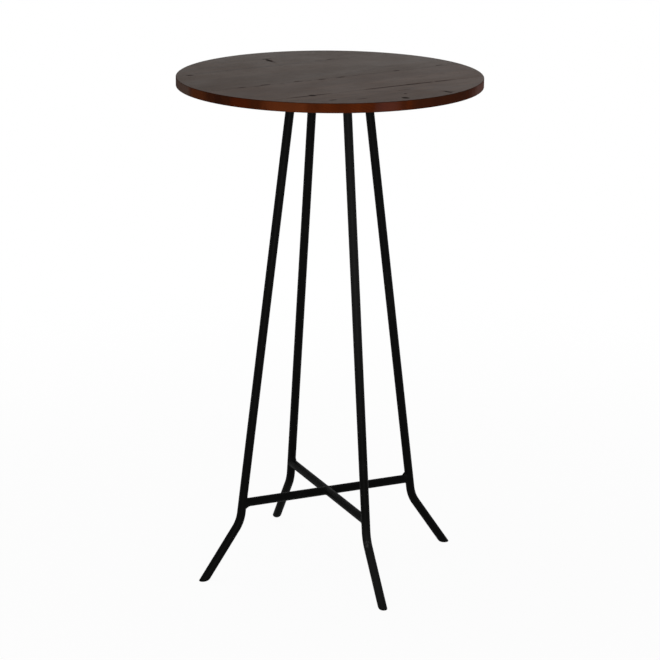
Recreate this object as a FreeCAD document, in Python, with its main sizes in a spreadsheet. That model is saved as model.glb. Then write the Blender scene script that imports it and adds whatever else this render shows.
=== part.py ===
import FreeCAD, Part
import math
import os
import Sketcher

# A round bar-height table. Its thin round top is glued up from four planks of different widths.
# Four round steel rods carry it: each leans outwards on its way down, bends once just above the
# floor and stands on its own end, which is cut level. Two crossed rods tie the legs together a
# little above the bend, and two crossed flat bars, hidden under the top, take the wood screws.
# The origin is the middle of the footprint on the floor, with +Z up and the front towards -Y.

doc = FreeCAD.newDocument("RoundHighTable")

# Driving sizes, in millimetres, degrees and shares
SIZES = [
    ("table_height", 1100, "floor to the face of the top"),
    ("top_diameter", 650, "round top, across"),
    ("top_thickness", 20, "planks, planed"),
    ("arris_chamfer", 1.2, "upper and lower arris of the rim, at 45 degrees"),
    ("grain_turn", 9.8, "turn of the planks from the diagonal of the half stretchers"),
    ("front_board_share", 0.223, "width of the outermost plank in front, as a share of the diameter"),
    ("front_middle_board_share", 0.23, "width of the second plank, likewise"),
    ("back_middle_board_share", 0.29, "width of the third plank, and the fourth fills the circle"),
    ("saw_allowance", 12, "wood that the blank has outside the round, turned away"),
    ("dowel_diameter", 8, "beech dowels in the plank joints"),
    ("dowel_length", 40, "half of it in each plank"),
    ("dowel_glue_gap", 0.05, "all round a dowel in its bore"),
    ("dowel_end_gap", 1, "past each end of a dowel"),
    ("dowel_inner_reach", 62, "inner pair of dowels, from the middle of a joint"),
    ("dowel_rim_distance", 52, "outer pair of dowels, from the rim end of a joint"),
    ("rod_diameter", 19, "legs and stretchers alike"),
    ("leg_top_reach", 86, "leg axis from the middle, under the flat bars"),
    ("bend_reach", 208.5, "corner of the leg axis, from the middle"),
    ("bend_height", 126, "corner of the leg axis, from the floor"),
    ("bend_radius", 80, "of the rod's axis"),
    ("foot_reach", 295, "leg axis from the middle, on the floor"),
    ("stretcher_height", 167.5, "axis of the stretchers, from the floor"),
    ("cope_gap", 0.2, "between a coped rod end and the rod it meets"),
    ("weld_radius", 4.5, "bead in the corner where a stretcher meets its leg"),
    ("weld_side_rise", 0.8, "how far that bead stands out at the sides of the rods"),
    ("crossing_weld_radius", 3.5, "bead in the corners where the stretchers cross"),
    ("crossing_weld_side_rise", 0.3, "how far that bead stands out above and below"),
    ("leg_top_weld_radius", 4.5, "bead round the top end of a leg"),
    ("weld_least_bore", 0.5, "least hole in a ring of weld metal"),
    ("bar_width", 32, "flat bars under the top"),
    ("bar_thickness", 5, "flat bars under the top"),
    ("bar_reach", 245, "end of a flat bar, from the middle"),
    ("bar_weld_radius", 3, "bead across the flat bars at their crossing"),
    ("inner_screw_reach", 120, "inner ring of wood screws, from the middle"),
    ("outer_screw_reach", 224, "outer ring of wood screws, from the middle"),
    ("screw_hole_diameter", 5.5, "round holes in the half bars, and width of the slots"),
    ("slot_travel", 6, "how far a screw can move in the slots of the long bar"),
    ("screw_diameter", 4.5, "shank of a wood screw"),
    ("screw_length", 22, "from under the head to the tip"),
    ("screw_tip_length", 6, "tapered end of a wood screw"),
    ("screw_head_diameter", 9, "pan head"),
    ("screw_head_height", 3, "pan head"),
    ("screw_head_bevel", 1.4, "round the crown of the head, at 45 degrees"),
    ("screw_tip_gap", 1, "free depth of a pilot hole past the tip"),
    ("pilot_clearance", 0.05, "all round a screw in its pilot hole"),
    ("washer_diameter", 14, "outside"),
    ("washer_hole_diameter", 5, "inside"),
    ("washer_thickness", 1.2, "flat washer"),
    ("cut_overrun", 5, "how far a cutting shape runs past what it cuts"),
]

# Azimuths in degrees from +X, seen from above. The leg at the back left and the leg at the front
# right share the long stretcher, and the other two have half a stretcher each.
HALF_STRETCHER_AZIMUTH = 45
LONG_STRETCHER_AZIMUTH = 135
LEG_AZIMUTHS = {
    "back_right": HALF_STRETCHER_AZIMUTH,
    "back_left": LONG_STRETCHER_AZIMUTH,
    "front_left": HALF_STRETCHER_AZIMUTH + 180,
    "front_right": LONG_STRETCHER_AZIMUTH + 180,
}

sheet = doc.addObject("Spreadsheet::Sheet", "Sizes")
for row, (alias, number, note) in enumerate(SIZES, start=1):
    sheet.set(f"A{row}", note)
    sheet.set(f"B{row}", str(number))
    sheet.setAlias(f"B{row}", alias)
doc.recompute()

# Planes and lengths that several pieces share, as expressions on the sheet
RADIUS = "Sizes.rod_diameter / 2"
TOP_RADIUS = "Sizes.top_diameter / 2"
TOP_UNDERSIDE = "Sizes.table_height - Sizes.top_thickness"
BAR_UNDERSIDE = f"{TOP_UNDERSIDE} - Sizes.bar_thickness"
WASHER_UNDERSIDE = f"{BAR_UNDERSIDE} - Sizes.washer_thickness"
# Slope of the straight upper part of a leg: outward travel for each millimetre downwards
LEG_SLOPE = f"((Sizes.bend_reach - Sizes.leg_top_reach) / ({BAR_UNDERSIDE} - Sizes.bend_height))"
LEG_LEAN = f"atan({LEG_SLOPE})"
STRETCHER_REACH = f"Sizes.bend_reach - (Sizes.stretcher_height - Sizes.bend_height) * {LEG_SLOPE}"

UP = FreeCAD.Vector(0, 0, 1)
nodes = []


def value(expression):
    """Number that an expression on the sheet comes to, in millimetres or degrees."""
    result = sheet.evalExpression(expression)
    return float(getattr(result, "Value", result))


def node(thing, label):
    """Name a finished sub-part, so that it is checked and written at the end."""
    thing.Label = label
    nodes.append(thing)
    return thing


def turned(azimuth, x=0, z=0):
    """Placement that lifts a piece by z, moves it out by x and turns it about the table's axis."""
    turn = FreeCAD.Rotation(UP, azimuth)
    return FreeCAD.Placement(turn.multVec(FreeCAD.Vector(x, 0, z)), turn)


def new_sketch(body, name, role):
    """Sketch on one of the body's own planes."""
    sketch = body.newObject("Sketcher::SketchObject", name)
    plane = [feature for feature in body.Origin.OriginFeatures if feature.Role == role][0]
    sketch.AttachmentSupport = [(plane, "")]
    sketch.MapMode = "FlatFace"
    return sketch


def hold(sketch, kind, expression, *where):
    """Add a dimension to a sketch that follows an expression on the sheet."""
    index = sketch.addConstraint(Sketcher.Constraint(kind, *where, value(expression)))
    sketch.setExpression(f"Constraints[{index}]", expression)


def pin(sketch, geometry, point, x, y):
    """Hold one point of a sketch at a place that follows the sheet."""
    hold(sketch, "DistanceX", x, -1, 1, geometry, point)
    hold(sketch, "DistanceY", y, -1, 1, geometry, point)


def circle(sketch, x, y, radius):
    """Circle with its centre and radius held."""
    centre = FreeCAD.Vector(value(x), value(y), 0)
    index = sketch.addGeometry(Part.Circle(centre, UP, value(radius)), False)
    pin(sketch, index, 3, x, y)
    hold(sketch, "Radius", radius, index)


def outline(sketch, corners):
    """Closed outline. A corner is (x, y), or (x, y, radius) where the side that leaves it is an arc,
    drawn anticlockwise. Where that radius is None, the arc is a half circle that ends straight above
    or below the corner."""
    first = sketch.GeometryCount
    points = [FreeCAD.Vector(value(corner[0]), value(corner[1]), 0) for corner in corners]
    following = points[1:] + points[:1]
    for corner, here, there in zip(corners, points, following):
        if len(corner) == 2:
            sketch.addGeometry(Part.LineSegment(here, there), False)
            continue
        half_chord = (there - here) / 2
        radius = value(corner[2]) if corner[2] else half_chord.Length
        rise = math.sqrt(max(radius ** 2 - half_chord.Length ** 2, 0))
        side = FreeCAD.Vector(-half_chord.y, half_chord.x, 0).normalize()
        centre = here + half_chord + side * rise
        angles = [math.atan2(end.y - centre.y, end.x - centre.x) for end in (here, there)]
        if angles[1] < angles[0]:
            angles[1] += 2 * math.pi
        sketch.addGeometry(Part.ArcOfCircle(Part.Circle(centre, UP, radius), *angles), False)
    for i, corner in enumerate(corners):
        follower = first + (i + 1) % len(corners)
        sketch.addConstraint(Sketcher.Constraint("Coincident", first + i, 2, follower, 1))
        pin(sketch, first + i, 1, corner[0], corner[1])
        if len(corner) > 2 and corner[2]:
            hold(sketch, "Radius", corner[2], first + i)
        elif len(corner) > 2:
            hold(sketch, "DistanceX", corner[0], -1, 1, first + i, 3)


def rectangle(sketch, left, right, low, high):
    """Four-sided outline between two abscissas and two ordinates."""
    outline(sketch, [(left, low), (right, low), (right, high), (left, high)])


def pocket(body, sketch, name, length, reverse=False):
    """Cut a sketch into a body to a depth, against the sketch's normal unless it is reversed."""
    before = body.Shape.Volume
    cut = body.newObject("PartDesign::Pocket", name)
    cut.Profile = sketch
    cut.Reversed = reverse
    cut.setExpression("Length", length)
    body.Tip = cut
    doc.recompute()
    print(f"{body.Label}: {name} takes away {before - body.Shape.Volume:.1f} mm3")
    return cut


# Round top: four planks, sawn to width, dowelled and glued, then turned round and eased


def in_top():
    """Placement of what lies in the top: along the planks, with its zero at their underside."""
    return turned(HALF_STRETCHER_AZIMUTH + value("Sizes.grain_turn"), 0, value(TOP_UNDERSIDE))


def seam_places():
    """Places across the grain of the three plank joints, from the middle of the top."""
    front = "Sizes.front_board_share"
    middle = f"{front} + Sizes.front_middle_board_share"
    back = f"{middle} + Sizes.back_middle_board_share"
    return [f"Sizes.top_diameter * ({share}) - {TOP_RADIUS}" for share in (front, middle, back)]


def dowel_places(seam):
    """Places along one plank joint of its four dowels."""
    half_length = f"sqrt(({TOP_RADIUS}) ^ 2 - ({seam}) ^ 2)"
    outer = f"({half_length} - Sizes.dowel_rim_distance)"
    inner = "Sizes.dowel_inner_reach"
    return [f"-{outer}", f"-{inner}", inner, outer]


def screw_places():
    """Places of the wood screws from the middle: how far along and across the planks."""
    places = []
    for azimuth in LEG_AZIMUTHS.values():
        turn = f"({azimuth - HALF_STRETCHER_AZIMUTH} - Sizes.grain_turn)"
        for reach in ("Sizes.inner_screw_reach", "Sizes.outer_screw_reach"):
            places.append((f"{reach} * cos({turn})", f"{reach} * sin({turn})"))
    return places


def rim_cut(body):
    """Turn the outside of the round, with both arrises eased, all in one pass."""
    sketch = new_sketch(body, "RimProfile", "XZ_Plane")
    inside = f"{TOP_RADIUS} - Sizes.arris_chamfer"
    outside = f"2 * ({TOP_RADIUS} + Sizes.saw_allowance)"
    below = "-Sizes.cut_overrun"
    above = "Sizes.top_thickness + Sizes.cut_overrun"
    outline(sketch, [
        (outside, below),
        (inside, below),
        (inside, "0"),
        (TOP_RADIUS, "Sizes.arris_chamfer"),
        (TOP_RADIUS, "Sizes.top_thickness - Sizes.arris_chamfer"),
        (inside, "Sizes.top_thickness"),
        (inside, above),
        (outside, above),
    ])
    groove = body.newObject("PartDesign::Groove", "Rim")
    groove.Profile = sketch
    groove.ReferenceAxis = (sketch, ["V_Axis"])
    groove.Angle = 360
    body.Tip = groove
    doc.recompute()


def board(label, low_seam, high_seam):
    """One plank between two joints. An outermost plank has no joint on its outer side."""
    body = doc.addObject("PartDesign::Body", label)
    blank = new_sketch(body, "Blank", "XY_Plane")
    end = f"{TOP_RADIUS} + Sizes.saw_allowance"
    rectangle(blank, f"-({end})", end, low_seam or f"-({end})", high_seam or end)
    pad = body.newObject("PartDesign::Pad", "Plank")
    pad.Profile = blank
    pad.setExpression("Length", "Sizes.top_thickness")
    doc.recompute()
    rim_cut(body)
    for seam, side in ((low_seam, "Low"), (high_seam, "High")):
        if seam is None:
            continue
        bores = new_sketch(body, f"DowelBores{side}", "XZ_Plane")
        bores.setExpression("AttachmentOffset.Base.z", f"-({seam})")
        bore_radius = "Sizes.dowel_diameter / 2 + Sizes.dowel_glue_gap"
        for along in dowel_places(seam):
            circle(bores, along, "Sizes.top_thickness / 2", bore_radius)
        depth = "Sizes.dowel_length / 2 + Sizes.dowel_end_gap"
        pocket(body, bores, f"DowelHoles{side}", depth, reverse=(side == "High"))
    pilots = new_sketch(body, "Pilots", "XY_Plane")
    for along, across in screw_places():
        circle(pilots, along, across, "Sizes.screw_diameter / 2 + Sizes.pilot_clearance")
    bite = "Sizes.screw_length - Sizes.washer_thickness - Sizes.bar_thickness + Sizes.screw_tip_gap"
    pocket(body, pilots, "PilotHoles", bite, reverse=True)
    body.Placement = in_top()
    return node(body, label)


seams = seam_places()
board("front_board", None, seams[0])
board("front_middle_board", seams[0], seams[1])
board("back_middle_board", seams[1], seams[2])
board("back_board", seams[2], None)


# Dowels: plain beech pins, four across each plank joint at half the thickness


def dowels(label, seam):
    """The four dowels of one plank joint."""
    body = doc.addObject("PartDesign::Body", label)
    body.AllowCompound = True
    half = "Sizes.dowel_length / 2"
    for i, along in enumerate(dowel_places(seam)):
        sketch = new_sketch(body, f"Dowel{i}", "XY_Plane")
        sketch.setExpression("AttachmentOffset.Base.z", "Sizes.top_thickness / 2")
        wall = f"({along}) + Sizes.dowel_diameter / 2"
        rectangle(sketch, along, wall, f"({seam}) - {half}", f"({seam}) + {half}")
        dowel_pin = body.newObject("PartDesign::Revolution", f"Pin{i}")
        dowel_pin.Profile = sketch
        dowel_pin.ReferenceAxis = (sketch, ["Edge4"])
        dowel_pin.Angle = 360
        body.Tip = dowel_pin
        doc.recompute()
    body.Placement = in_top()
    return node(body, label)


dowels("front_seam_dowels", seams[0])
dowels("middle_seam_dowels", seams[1])
dowels("back_seam_dowels", seams[2])


# Flat bars under the top: one long bar across the planks, slotted so that the wood can move,
# and two half bars along them with round holes, butted against its edges and welded


def screw_hole(sketch, reach, travel):
    """Round hole for a wood screw at a reach along the bar, or a slot where it has travel."""
    radius = "Sizes.screw_hole_diameter / 2"
    if travel is None:
        circle(sketch, reach, "0", radius)
        return
    low, high = f"{reach} - {travel} / 2", f"{reach} + {travel} / 2"
    outline(sketch, [
        (low, f"-{radius}"),
        (high, f"-{radius}", None),
        (high, radius),
        (low, radius, None),
    ])


def flat_bar(label, azimuth, long):
    """Flat bar with half-round ends. The long one reaches out both ways from the middle."""
    body = doc.addObject("PartDesign::Body", label)
    half = "Sizes.bar_width / 2"
    far = f"Sizes.bar_reach - {half}"
    sketch = new_sketch(body, "BarOutline", "XY_Plane")
    if long:
        near = f"-({far})"
        outline(sketch, [(near, f"-{half}"), (far, f"-{half}", None), (far, half), (near, half, None)])
    else:
        outline(sketch, [(half, f"-{half}"), (far, f"-{half}", None), (far, half), (half, half)])
    pad = body.newObject("PartDesign::Pad", "Bar")
    pad.Profile = sketch
    pad.setExpression("Length", "Sizes.bar_thickness")
    doc.recompute()
    holes = new_sketch(body, "ScrewHoles", "XY_Plane")
    for reach in ("Sizes.inner_screw_reach", "Sizes.outer_screw_reach"):
        screw_hole(holes, reach, "Sizes.slot_travel" if long else None)
        if long:
            screw_hole(holes, f"-{reach}", "Sizes.slot_travel")
    pocket(body, holes, "Holes", "Sizes.bar_thickness", reverse=True)
    body.Placement = turned(azimuth, 0, value(BAR_UNDERSIDE))
    return node(body, label)


flat_bar("long_top_bar", LONG_STRETCHER_AZIMUTH, True)
flat_bar("back_right_half_top_bar", LEG_AZIMUTHS["back_right"], False)
flat_bar("front_left_half_top_bar", LEG_AZIMUTHS["front_left"], False)


# Screws and washers: pan-head wood screws, two up through each arm of the flat bars


def screw_set(label, height, profile):
    """Like turned pieces at all the screw places, from a profile about the screw's axis."""
    body = doc.addObject("PartDesign::Body", label)
    body.AllowCompound = True
    for name, reach in (("Inner", "Sizes.inner_screw_reach"), ("Outer", "Sizes.outer_screw_reach")):
        sketch = new_sketch(body, f"{name}Profile", "XZ_Plane")
        low = FreeCAD.Vector(value(reach), 0, 0)
        high = FreeCAD.Vector(value(reach), value("Sizes.screw_length"), 0)
        axis = sketch.addGeometry(Part.LineSegment(low, high), True)
        pin(sketch, axis, 1, reach, "0")
        pin(sketch, axis, 2, reach, "Sizes.screw_length")
        profile(sketch, reach)
        turned_piece = body.newObject("PartDesign::Revolution", name)
        turned_piece.Profile = sketch
        turned_piece.ReferenceAxis = (sketch, ["Axis0"])
        turned_piece.Angle = 360
        body.Tip = turned_piece
        doc.recompute()
    arms = body.newObject("PartDesign::PolarPattern", "Arms")
    arms.Originals = [feature for feature in body.Group if feature.TypeId == "PartDesign::Revolution"]
    z_axis = [feature for feature in body.Origin.OriginFeatures if feature.Role == "Z_Axis"][0]
    arms.Axis = (z_axis, [""])
    arms.Angle = 360
    arms.Occurrences = len(LEG_AZIMUTHS)
    body.Tip = arms
    doc.recompute()
    body.Placement = turned(HALF_STRETCHER_AZIMUTH, 0, value(height))
    return node(body, label)


def screw_profile(sketch, reach):
    """Half section of a pan-head screw whose head hangs below and whose tip points up."""
    head = f"{reach} + Sizes.screw_head_diameter / 2"
    shank = f"{reach} + Sizes.screw_diameter / 2"
    outline(sketch, [
        (reach, "-Sizes.screw_head_height"),
        (f"{head} - Sizes.screw_head_bevel", "-Sizes.screw_head_height"),
        (head, "Sizes.screw_head_bevel - Sizes.screw_head_height"),
        (head, "0"),
        (shank, "0"),
        (shank, "Sizes.screw_length - Sizes.screw_tip_length"),
        (reach, "Sizes.screw_length"),
    ])


def washer_profile(sketch, reach):
    """Section of a flat washer on one side of its axis."""
    inside, outside = "Sizes.washer_hole_diameter / 2", "Sizes.washer_diameter / 2"
    rectangle(sketch, f"{reach} + {inside}", f"{reach} + {outside}", "0", "Sizes.washer_thickness")


screw_set("top_screws", WASHER_UNDERSIDE, screw_profile)
screw_set("screw_washers", WASHER_UNDERSIDE, washer_profile)


# Legs: round steel rod, bent once, with both ends cut level


def bent_rod(label, radius, azimuth):
    """Rod of a radius along the leg's axis, which is straight, an arc and straight again."""
    body = doc.addObject("PartDesign::Body", label)
    path = new_sketch(body, "Axis", "XZ_Plane")
    top = FreeCAD.Vector(value("Sizes.leg_top_reach"), value(BAR_UNDERSIDE), 0)
    corner = FreeCAD.Vector(value("Sizes.bend_reach"), value("Sizes.bend_height"), 0)
    foot = FreeCAD.Vector(value("Sizes.foot_reach"), 0, 0)
    bend = value("Sizes.bend_radius")
    up, down = (top - corner).normalize(), (foot - corner).normalize()
    half_turn = (math.pi - up.getAngle(down)) / 2
    arc_start = corner + up * bend * math.tan(half_turn)
    arc_end = corner + down * bend * math.tan(half_turn)
    centre = corner + (up + down).normalize() * bend / math.cos(half_turn)
    extra = value("Sizes.rod_diameter")
    head = top + up * extra / up.y
    tail = foot - down * extra / down.y
    angles = [math.atan2(end.y - centre.y, end.x - centre.x) for end in (arc_start, arc_end)]
    path.addGeometry(Part.LineSegment(head, arc_start), False)
    path.addGeometry(Part.ArcOfCircle(Part.Circle(centre, UP, bend), *angles), False)
    path.addGeometry(Part.LineSegment(arc_end, tail), False)
    for point in (top, corner, foot):
        path.addGeometry(Part.Point(point), True)
    pin(path, 3, 1, "Sizes.leg_top_reach", BAR_UNDERSIDE)
    pin(path, 4, 1, "Sizes.bend_reach", "Sizes.bend_height")
    pin(path, 5, 1, "Sizes.foot_reach", "0")
    for point, line in ((3, 0), (4, 0), (4, 2), (5, 2)):
        path.addConstraint(Sketcher.Constraint("PointOnObject", point, 1, line))
    path.addConstraint(Sketcher.Constraint("Tangent", 0, 2, 1, 1))
    path.addConstraint(Sketcher.Constraint("Tangent", 1, 2, 2, 1))
    hold(path, "Radius", "Sizes.bend_radius", 1)
    hold(path, "DistanceY", f"{BAR_UNDERSIDE} + Sizes.rod_diameter", -1, 1, 0, 1)
    hold(path, "DistanceY", "-Sizes.rod_diameter", -1, 1, 2, 2)
    doc.recompute()
    section = body.newObject("Sketcher::SketchObject", "Section")
    section.AttachmentSupport = [(path, "Edge1")]
    section.MapMode = "NormalToEdge"
    section.MapPathParameter = 0
    circle(section, "0", "0", radius)
    doc.recompute()
    pipe = body.newObject("PartDesign::AdditivePipe", "Rod")
    pipe.Profile = section
    pipe.Spine = (path, ["Edge1", "Edge2", "Edge3"])
    doc.recompute()
    body.Placement = turned(azimuth)
    return body


def leg(label, azimuth):
    """Bent rod with its top end cut level under the flat bars and its foot on the floor."""
    body = bent_rod(label, RADIUS, azimuth)
    ends = new_sketch(body, "EndCuts", "XZ_Plane")
    extra = "2 * Sizes.rod_diameter"
    for middle, low, high in (("Sizes.leg_top_reach", BAR_UNDERSIDE, f"{BAR_UNDERSIDE} + {extra}"),
                              ("Sizes.foot_reach", f"-{extra}", "0")):
        rectangle(ends, f"{middle} - {extra}", f"{middle} + {extra}", low, high)
    cut = pocket(body, ends, "LevelEnds", extra)
    cut.Midplane = True
    doc.recompute()
    return node(body, label)


legs = {}
copers = {}
cope_radius = f"{RADIUS} + Sizes.cope_gap"
for corner, azimuth in LEG_AZIMUTHS.items():
    legs[corner] = leg(f"{corner}_leg", azimuth)
    copers[corner] = bent_rod(f"{corner}_cope", cope_radius, azimuth)


# Stretchers: the long one runs through the crossing, the two halves are coped to its sides


def rod_along(name, azimuth, start, end, radius=RADIUS):
    """Straight level rod at the stretchers' height, from one reach to another."""
    rod = doc.addObject("Part::Cylinder", name)
    rod.setExpression("Radius", radius)
    rod.setExpression("Height", f"({end}) - ({start})")
    lay_down = FreeCAD.Rotation(FreeCAD.Vector(0, 1, 0), 90)
    place = turned(azimuth, value(start), value("Sizes.stretcher_height"))
    rod.Placement = FreeCAD.Placement(place.Base, place.Rotation.multiply(lay_down))
    return rod


def cut_away(name, base, tools):
    """Base with each of the tools taken away from it."""
    result = base
    for i, tool in enumerate(tools):
        cut = doc.addObject("Part::Cut", f"{name}Cut{i}")
        cut.Base = result
        cut.Tool = tool
        result = cut
    doc.recompute()
    return result


long_blank = rod_along("LongBlank", LONG_STRETCHER_AZIMUTH, f"-({STRETCHER_REACH})", STRETCHER_REACH)
long_stretcher = cut_away("LongStretcher", long_blank, [copers["back_left"], copers["front_right"]])
node(long_stretcher, "long_stretcher")
half_stretchers = {}
for corner in ("back_right", "front_left"):
    blank = rod_along(f"{corner}_blank", LEG_AZIMUTHS[corner], "0", STRETCHER_REACH)
    through = "2 * Sizes.rod_diameter"
    crossing_coper = rod_along(f"{corner}_crossing_cope", LONG_STRETCHER_AZIMUTH,
                               f"-{through}", through, cope_radius)
    half = cut_away(f"{corner}_half", blank, [copers[corner], crossing_coper])
    half_stretchers[corner] = node(half, f"{corner}_half_stretcher")


# Welds: a bead fills each corner where two rods meet, fullest in the middle of the corner and
# dying away at the sides of the rods, where their surfaces run into each other

BEAD_SIDES = 6


def ring(name, middle, radius, bead_radius):
    """Ring of weld metal about the Z axis of a placement, turned from a many-sided section."""
    section = doc.addObject("Part::RegularPolygon", f"{name}_section")
    section.Polygon = BEAD_SIDES
    section.Placement.Rotation = FreeCAD.Rotation(FreeCAD.Vector(1, 0, 0), 90)
    section.setExpression("Circumradius", bead_radius)
    section.setExpression("Placement.Base.x", radius)
    turned_ring = doc.addObject("Part::Revolution", name)
    turned_ring.Source = section
    turned_ring.Axis = UP
    turned_ring.Solid = True
    turned_ring.Placement = middle
    return turned_ring


def corner_beads(label, corners, side, bead_radius, side_rise, rods):
    """Crescent beads in the corners of a joint. A corner is the direction from the joint's middle,
    and the distance to where the rods' surfaces meet; side is the way across both rods."""
    spread = f"max({RADIUS} + {side_rise} - {bead_radius}; {bead_radius} + Sizes.weld_least_bore)"
    rings = []
    for i, (middle, direction, distance) in enumerate(corners):
        flat = FreeCAD.Rotation(direction, side, FreeCAD.Vector(), "XYZ")
        centre = middle + direction * value(f"{distance} - {spread}")
        rings.append(ring(f"{label}_ring{i}", FreeCAD.Placement(centre, flat), spread, bead_radius))
    beads = doc.addObject("Part::Compound", f"{label}_rings")
    beads.Links = rings
    doc.recompute()
    return node(cut_away(label, beads, rods), label)


stretcher_ends = {
    "back_right": half_stretchers["back_right"],
    "back_left": long_stretcher,
    "front_left": half_stretchers["front_left"],
    "front_right": long_stretcher,
}
for corner, stretcher in stretcher_ends.items():
    place = turned(LEG_AZIMUTHS[corner], value(STRETCHER_REACH), value("Sizes.stretcher_height"))
    side = place.Rotation.multVec(FreeCAD.Vector(0, 1, 0))
    corners = []
    for opening, upwards in ((f"(90 deg - {LEG_LEAN})", 1), (f"(90 deg + {LEG_LEAN})", -1)):
        rise = math.radians(value(opening)) / 2
        direction = place.Rotation.multVec(FreeCAD.Vector(-math.cos(rise), 0, upwards * math.sin(rise)))
        corners.append((place.Base, direction, f"{RADIUS} / sin({opening} / 2)"))
    corner_beads(f"{corner}_stretcher_weld", corners, side, "Sizes.weld_radius", "Sizes.weld_side_rise",
                 [legs[corner], stretcher])

# The stretchers cross at right angles, so the corners of the crossing lie midway between the legs
crossing = FreeCAD.Vector(0, 0, value("Sizes.stretcher_height"))
corners = []
for azimuth in LEG_AZIMUTHS.values():
    midway = FreeCAD.Rotation(UP, azimuth - HALF_STRETCHER_AZIMUTH).multVec(FreeCAD.Vector(1, 0, 0))
    corners.append((crossing, midway, f"{RADIUS} / sin(45 deg)"))
corner_beads("crossing_weld", corners, UP, "Sizes.crossing_weld_radius", "Sizes.crossing_weld_side_rise",
             [long_stretcher, half_stretchers["back_right"], half_stretchers["front_left"]])


def block_above(name, height, reach):
    """Block whose flat underside lies at a height, to cut level what sticks up through it."""
    block = doc.addObject("Part::Box", name)
    for side in ("Length", "Width"):
        block.setExpression(side, f"2 * ({reach})")
    block.setExpression("Height", reach)
    block.Placement.Base = FreeCAD.Vector(-value(reach), -value(reach), value(height))
    return block


above_bars = block_above("AboveBars", BAR_UNDERSIDE, "Sizes.bar_reach")
around_leg = f"max({RADIUS}; Sizes.leg_top_weld_radius + Sizes.weld_least_bore)"
for corner, azimuth in LEG_AZIMUTHS.items():
    label = f"{corner}_leg_top_weld"
    place = turned(azimuth, value("Sizes.leg_top_reach"), value(BAR_UNDERSIDE))
    bead = ring(f"{label}_ring", place, around_leg, "Sizes.leg_top_weld_radius")
    node(cut_away(label, bead, [above_bars, legs[corner]]), label)

bar_joints = []
for side in (1, -1):
    bead = doc.addObject("Part::Cylinder", "BarJoint")
    bead.setExpression("Radius", "Sizes.bar_weld_radius")
    bead.setExpression("Height", "Sizes.bar_width")
    across = FreeCAD.Rotation(FreeCAD.Vector(1, 0, 0), 90)
    start = FreeCAD.Vector(side * value("Sizes.bar_width / 2"), value("Sizes.bar_width / 2"), 0)
    lifted = turned(HALF_STRETCHER_AZIMUTH, 0, value(BAR_UNDERSIDE))
    bead.Placement = lifted.multiply(FreeCAD.Placement(start, across))
    bar_joints.append(bead)
bar_beads = doc.addObject("Part::Compound", "BarJoints")
bar_beads.Links = bar_joints
doc.recompute()
node(cut_away("BarWelds", bar_beads, [above_bars]), "top_bar_welds")


def check_and_write():
    """Stop if anything in the model failed, then write one file for each sub-part."""
    for thing in doc.Objects:
        bad = [state for state in thing.State if state in ("Invalid", "Error")]
        if bad:
            raise RuntimeError(f"{thing.Name} ({thing.Label}) is {bad}")
    os.makedirs("parts", exist_ok=True)
    for thing in nodes:
        shape = thing.Shape
        if shape.isNull() or not shape.isValid() or not shape.Solids:
            raise RuntimeError(f"{thing.Label} has no valid solid")
        box = shape.optimalBoundingBox()
        print(f"{thing.Label}: {len(shape.Solids)} solids, {shape.Volume:.1f} mm3, "
              f"x {box.XMin:.2f} to {box.XMax:.2f}, y {box.YMin:.2f} to {box.YMax:.2f}, "
              f"z {box.ZMin:.2f} to {box.ZMax:.2f}")
        shape.exportStep(f"parts/{thing.Label}.step")


check_and_write()
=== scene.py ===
import math

import bmesh
import bpy
from mathutils import Matrix, Vector, noise


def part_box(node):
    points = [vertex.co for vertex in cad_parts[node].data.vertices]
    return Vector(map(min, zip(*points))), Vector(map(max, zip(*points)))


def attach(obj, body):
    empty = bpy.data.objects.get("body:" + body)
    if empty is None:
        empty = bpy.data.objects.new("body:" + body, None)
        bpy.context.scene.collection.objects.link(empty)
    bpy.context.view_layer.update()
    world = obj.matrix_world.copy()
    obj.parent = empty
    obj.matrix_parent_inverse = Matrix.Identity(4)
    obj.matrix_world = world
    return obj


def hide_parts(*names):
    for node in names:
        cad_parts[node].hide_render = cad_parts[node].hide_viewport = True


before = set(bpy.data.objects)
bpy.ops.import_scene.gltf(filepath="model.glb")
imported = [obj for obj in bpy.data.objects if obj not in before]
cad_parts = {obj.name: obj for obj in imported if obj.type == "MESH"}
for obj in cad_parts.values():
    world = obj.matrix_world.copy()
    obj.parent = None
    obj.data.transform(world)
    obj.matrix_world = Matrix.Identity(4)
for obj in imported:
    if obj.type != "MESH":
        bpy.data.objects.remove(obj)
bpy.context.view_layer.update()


# Planks of the round top. Four boards of dark stained hardwood are dowelled and glued edge to
# edge, sawn round, eased at the rim and lacquered to a dull sheen. Dirt has settled along the
# joint behind the front board and shows as a dark line.

TOP_RADIUS = 0.325
TOP_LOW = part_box("front_board")[0].z
TOP_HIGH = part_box("front_board")[1].z
TOP_THICKNESS = TOP_HIGH - TOP_LOW
GRAIN_AZIMUTH = math.radians(54.8)
FRONT_JOINT, MIDDLE_JOINT, BACK_JOINT = -0.18005, -0.03055, 0.15795
RIM_ARRIS = 0.0015
JOINT_ARRIS = 0.00015
ARC_STEP = math.radians(1.5)
SHARP_EDGE = math.radians(35)


def bridge(mesh, under, over, smooth=True):
    """Faces between two closed rows of vertices."""
    for i in range(len(under)):
        j = (i + 1) % len(under)
        mesh.faces.new((under[i], under[j], over[j], over[i])).smooth = smooth


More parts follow.
